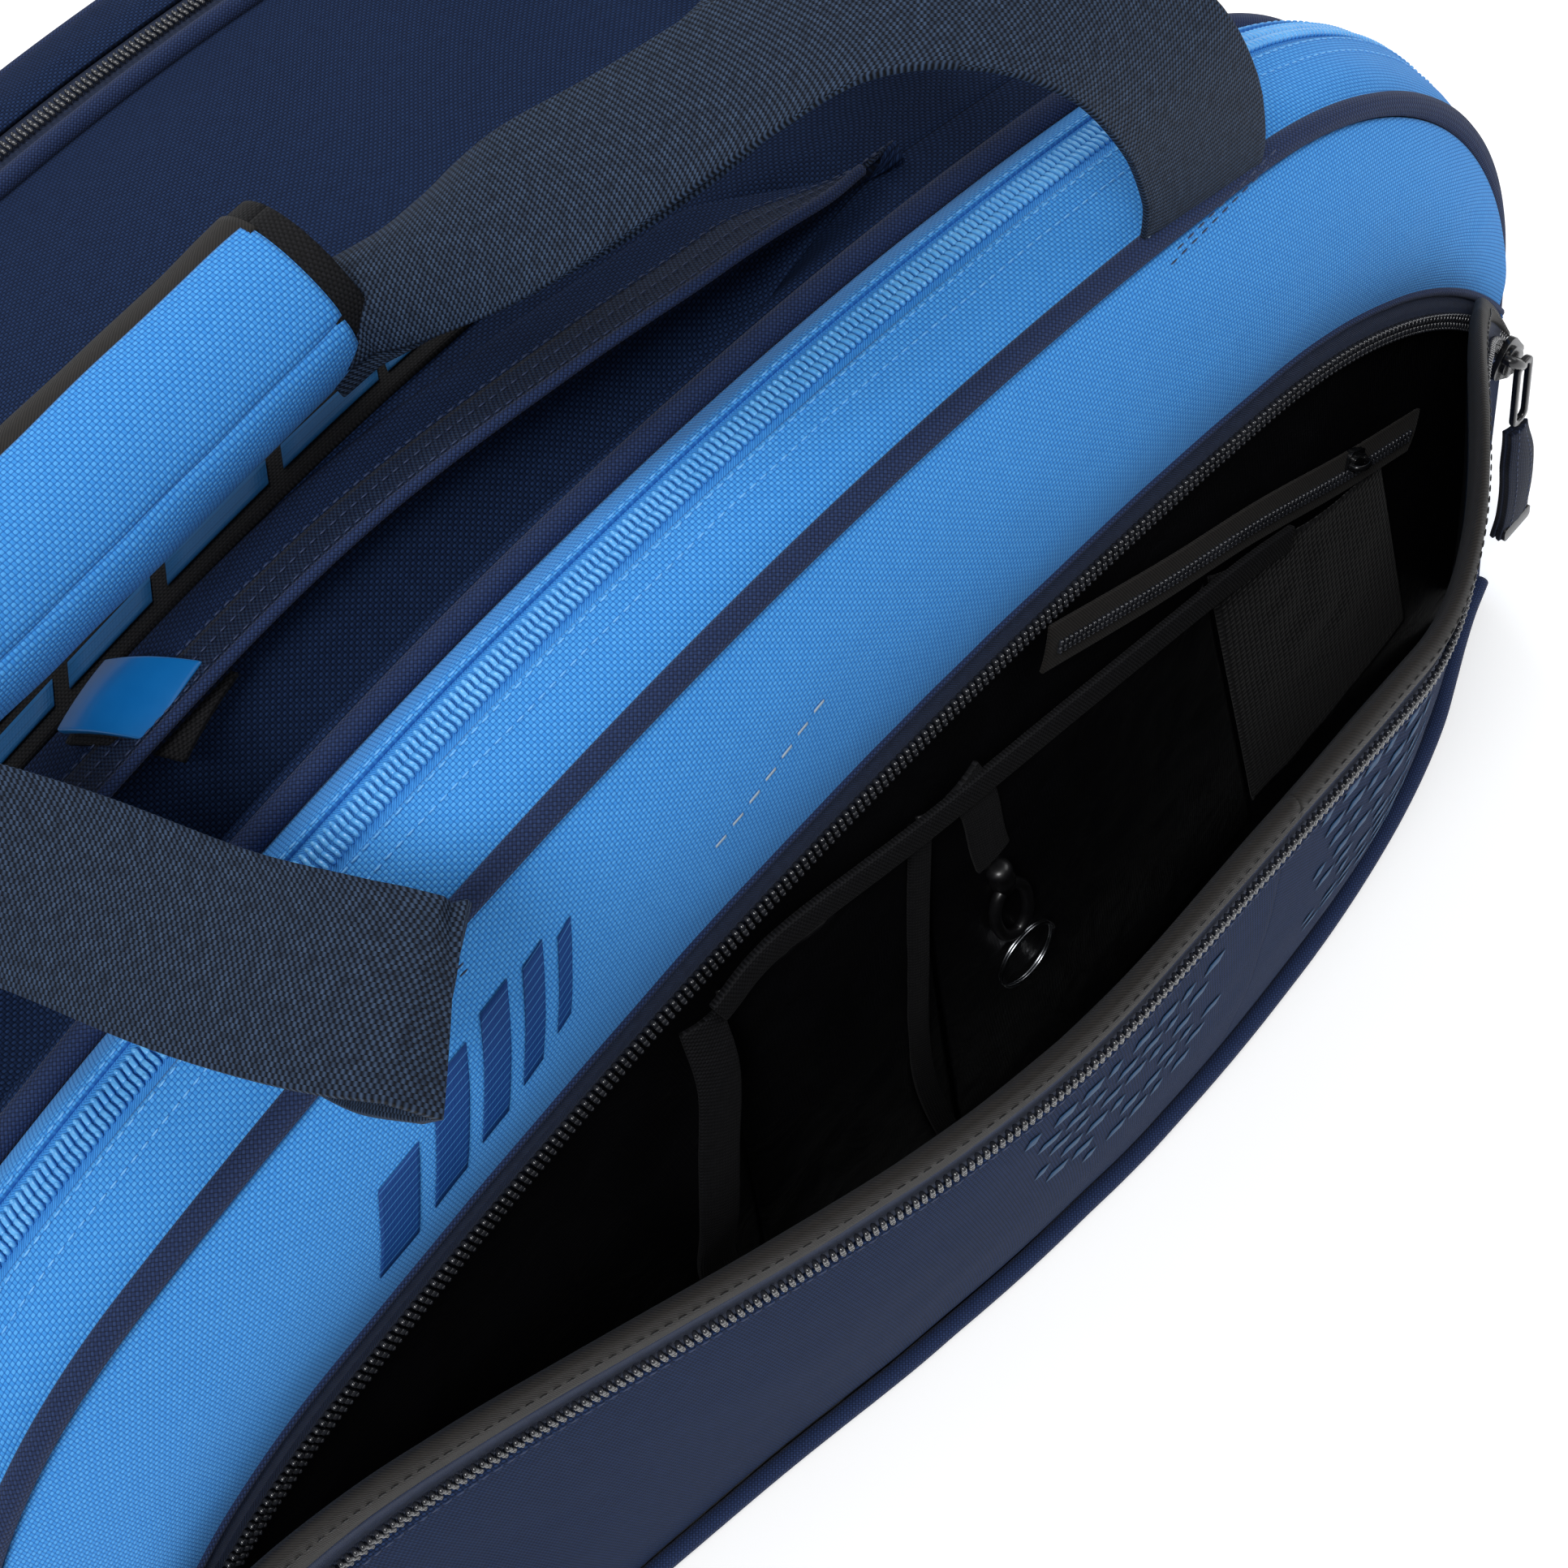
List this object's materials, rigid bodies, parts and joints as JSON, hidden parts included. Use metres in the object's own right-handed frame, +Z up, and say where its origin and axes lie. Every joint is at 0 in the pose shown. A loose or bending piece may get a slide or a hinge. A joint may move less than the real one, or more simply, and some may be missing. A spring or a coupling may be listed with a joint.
{
  "type": "racket tournament bag",
  "caption": "Soft racket bag with arched compartments, an open front pocket with organiser, coil zips with sliders, and webbing carry straps joined by a wrapped grip.",
  "frame": {"origin": "middle of the flat base, on the surface the bag stands on", "axes": "+X along the bag, -Y out of the front pocket, +Z up"},
  "size_m": [0.5906, 0.4309, 0.385],
  "materials": {
    "blue_polyester": "600D woven polyester, sky blue, matt",
    "navy_polyester": "fine woven polyester, dark navy, matt",
    "navy_piping": "woven tape over cord piping, navy",
    "navy_webbing": "polypropylene webbing, navy, ribbed",
    "black_webbing": "nylon webbing, black, ribbed",
    "blue_zip": "coil zip on woven tape, blue",
    "navy_zip": "coil zip on herringbone tape, navy and black",
    "black_lining": "coated nylon lining, black, slightly shiny",
    "black_hem": "padded twill hem, black-brown",
    "black_mesh": "knitted mesh, black",
    "badge_rubber": "moulded soft rubber, glossy blue",
    "slider_black": "die-cast zip slider, black enamel",
    "black_plastic": "moulded acetal, black",
    "ring_steel": "nickel-plated split ring",
    "pull_tape": "folded nylon tape, navy-black"
  },
  "bodies": {
    "root": {"back_divider": "black_lining", "back_edge_piping": "navy_piping", "back_gusset": "navy_polyester", "back_panel": "navy_polyester", "back_piping": "navy_piping", "back_strap_left": "navy_webbing", "back_strap_right": "navy_webbing", "back_zip": "navy_zip", "badge_webbing": "black_webbing", "base_panel": "navy_polyester", "centre_lip": "navy_polyester", "centre_shell": "navy_polyester", "front_divider": "black_lining", "front_gusset_aft": "blue_polyester", "front_gusset_fore": "blue_polyester", "front_panel": "blue_polyester", "front_piping": "navy_piping", "front_strap_left": "navy_webbing", "front_strap_right": "navy_webbing", "front_zip": "blue_zip", "key_webbing": "black_webbing", "logo_band": "black_webbing", "mesh_pocket": "black_mesh", "mesh_zip": "navy_zip", "organiser_binding": "black_webbing", "organiser_pocket": "black_lining", "pen_loop": "black_webbing", "pocket_cheek_left": "navy_polyester", "pocket_cheek_right": "navy_polyester", "pocket_floor": "navy_polyester", "pocket_lining": "black_lining", "pocket_piping": "navy_piping", "pocket_zip_upper": "navy_zip", "rubber_badge": "badge_rubber", "seam_piping": "navy_piping", "shoulder_buckle_left": "black_plastic", "shoulder_buckle_right": "black_plastic", "shoulder_strap_left": "navy_polyester", "shoulder_strap_right": "navy_polyester", "shoulder_webbing_left": "black_webbing", "shoulder_webbing_right": "black_webbing"},
    "pocket_flap": {"pocket_flap": "navy_polyester", "flap_zip": "navy_zip", "flap_hem": "black_hem"},
    "pocket_slider": {"pocket_slider": "slider_black"},
    "pocket_pull": {"pocket_pull": "slider_black", "pull_tab": "pull_tape"},
    "front_slider": {"front_slider": "slider_black"},
    "front_pull": {"front_pull": "pull_tape"},
    "back_slider": {"back_slider": "slider_black"},
    "back_pull": {"back_pull": "pull_tape"},
    "mesh_slider": {"mesh_slider": "slider_black"},
    "key_hook": {"key_hook": "black_plastic", "key_ring": "ring_steel"},
    "handle": {"grip_wrap": "blue_polyester", "grip_core": "black_webbing"}
  },
  "joints": [
    {"name": "pocket_zip", "type": "hinge", "parent": "root", "child": "pocket_slider", "pos_m": [0.14089, -0.1754, 0.048], "axis": [0, -1, 0], "range_deg": [0, 31]},
    {"name": "flap_fold", "type": "hinge", "parent": "root", "child": "pocket_flap", "pos_m": [0, -0.208, 0.014], "axis": [-1, 0, 0], "range_deg": [0, 19.7]},
    {"name": "pocket_pull_swing", "type": "hinge", "parent": "pocket_slider", "child": "pocket_pull", "pos_m": [0.28, -0.1822, 0.14457], "axis": [-1, 0, 0], "range_deg": [0, 70]},
    {"name": "front_zip_run", "type": "slide", "parent": "root", "child": "front_slider", "axis": [0, 0, 1], "range_m": [0, 0.1]},
    {"name": "front_pull_swing", "type": "hinge", "parent": "front_slider", "child": "front_pull", "pos_m": [0.2984, -0.138, 0.062], "axis": [0, -1, 0], "range_deg": [0, 80]},
    {"name": "back_zip_run", "type": "slide", "parent": "root", "child": "back_slider", "axis": [0, 0, 1], "range_m": [0, 0.1]},
    {"name": "back_pull_swing", "type": "hinge", "parent": "back_slider", "child": "back_pull", "pos_m": [0.2984, 0.131, 0.062], "axis": [0, -1, 0], "range_deg": [0, 80]},
    {"name": "mesh_zip_run", "type": "slide", "parent": "root", "child": "mesh_slider", "axis": [-0.9374, 0, 0.3483], "range_m": [0, 0.1]},
    {"name": "key_hook_swivel", "type": "hinge", "parent": "root", "child": "key_hook", "pos_m": [0.04, -0.1744, 0.165], "axis": [0, 0, 1], "range_deg": [-15, 15]},
    {"name": "handle_lift", "type": "slide", "parent": "root", "child": "handle", "axis": [0, 0, 1], "range_m": [0, 0.03], "deforming": ["front_strap_right", "front_strap_left", "back_strap_right", "back_strap_left"]}
  ],
  "couplings": [
    {"joint": "flap_fold", "follows": "pocket_zip", "ratio": 0.63548}
  ]
}
